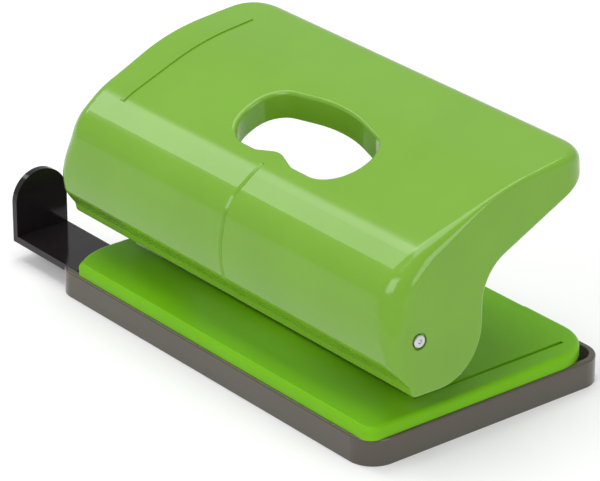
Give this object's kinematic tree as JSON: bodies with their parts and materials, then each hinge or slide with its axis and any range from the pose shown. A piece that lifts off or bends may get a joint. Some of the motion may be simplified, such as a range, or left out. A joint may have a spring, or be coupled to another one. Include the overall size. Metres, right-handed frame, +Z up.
{
  "type": "desk hole punch",
  "caption": "Small desk punch for filing holes: short lever handle with a finger hole, see-through chip tray, pull-out paper guide.",
  "frame": {"origin": "middle of the chip tray's flat underside", "axes": "+X along the punch to its right end, +Y to its back, +Z up"},
  "size_m": [0.1322, 0.0656, 0.0559],
  "materials": {
    "green_plastic": "glossy",
    "smoky_plastic": "glossy, see-through",
    "black_plastic": "glossy",
    "zinc_plate": "satin",
    "steel": "satin",
    "spring_steel": "drawn wire"
  },
  "bodies": {
    "tray": {"chip_tray": "smoky_plastic"},
    "base": {"base_plate": "green_plastic", "punch_frame": "zinc_plate", "die_bush_left": "steel", "pin_guide_left": "steel", "return_spring_left": "spring_steel", "rod_clip_left": "spring_steel", "die_bush_right": "steel", "pin_guide_right": "steel", "return_spring_right": "spring_steel", "rod_clip_right": "spring_steel", "frame_screws": "steel", "pivot_rod": "zinc_plate", "guide_spring": "spring_steel", "guide_spring_screw": "steel"},
    "lever": {"handle": "green_plastic"},
    "punch_left": {"punch_pin_left": "steel", "spring_washer_left": "steel", "pin_clip_left": "spring_steel"},
    "punch_right": {"punch_pin_right": "steel", "spring_washer_right": "steel", "pin_clip_right": "spring_steel"},
    "guide": {"paper_guide": "black_plastic"}
  },
  "joints": [
    {"name": "tray_release", "type": "slide", "parent": "tray", "child": "base", "axis": [0, 0, 1], "range_m": [0, 0.012]},
    {"name": "handle_press", "type": "hinge", "parent": "base", "child": "lever", "pos_m": [0, -0.022, 0.0273], "axis": [-1, 0, 0], "range_deg": [0, 20], "stiffness_Nm_per_rad": 0.4, "springref_deg": -11.46},
    {"name": "punch_left_stroke", "type": "slide", "parent": "base", "child": "punch_left", "axis": [0, 0, -1], "range_m": [0, 0.0043], "deforming": ["return_spring_left"]},
    {"name": "punch_right_stroke", "type": "slide", "parent": "base", "child": "punch_right", "axis": [0, 0, -1], "range_m": [0, 0.0043], "deforming": ["return_spring_right"]},
    {"name": "guide_pull", "type": "slide", "parent": "base", "child": "guide", "axis": [-1, 0, 0], "range_m": [-0.008, 0.0765]}
  ],
  "couplings": [
    {"joint": "punch_left_stroke", "follows": "handle_press", "m_per_rad": 0.0116},
    {"joint": "punch_right_stroke", "follows": "handle_press", "m_per_rad": 0.0116}
  ]
}
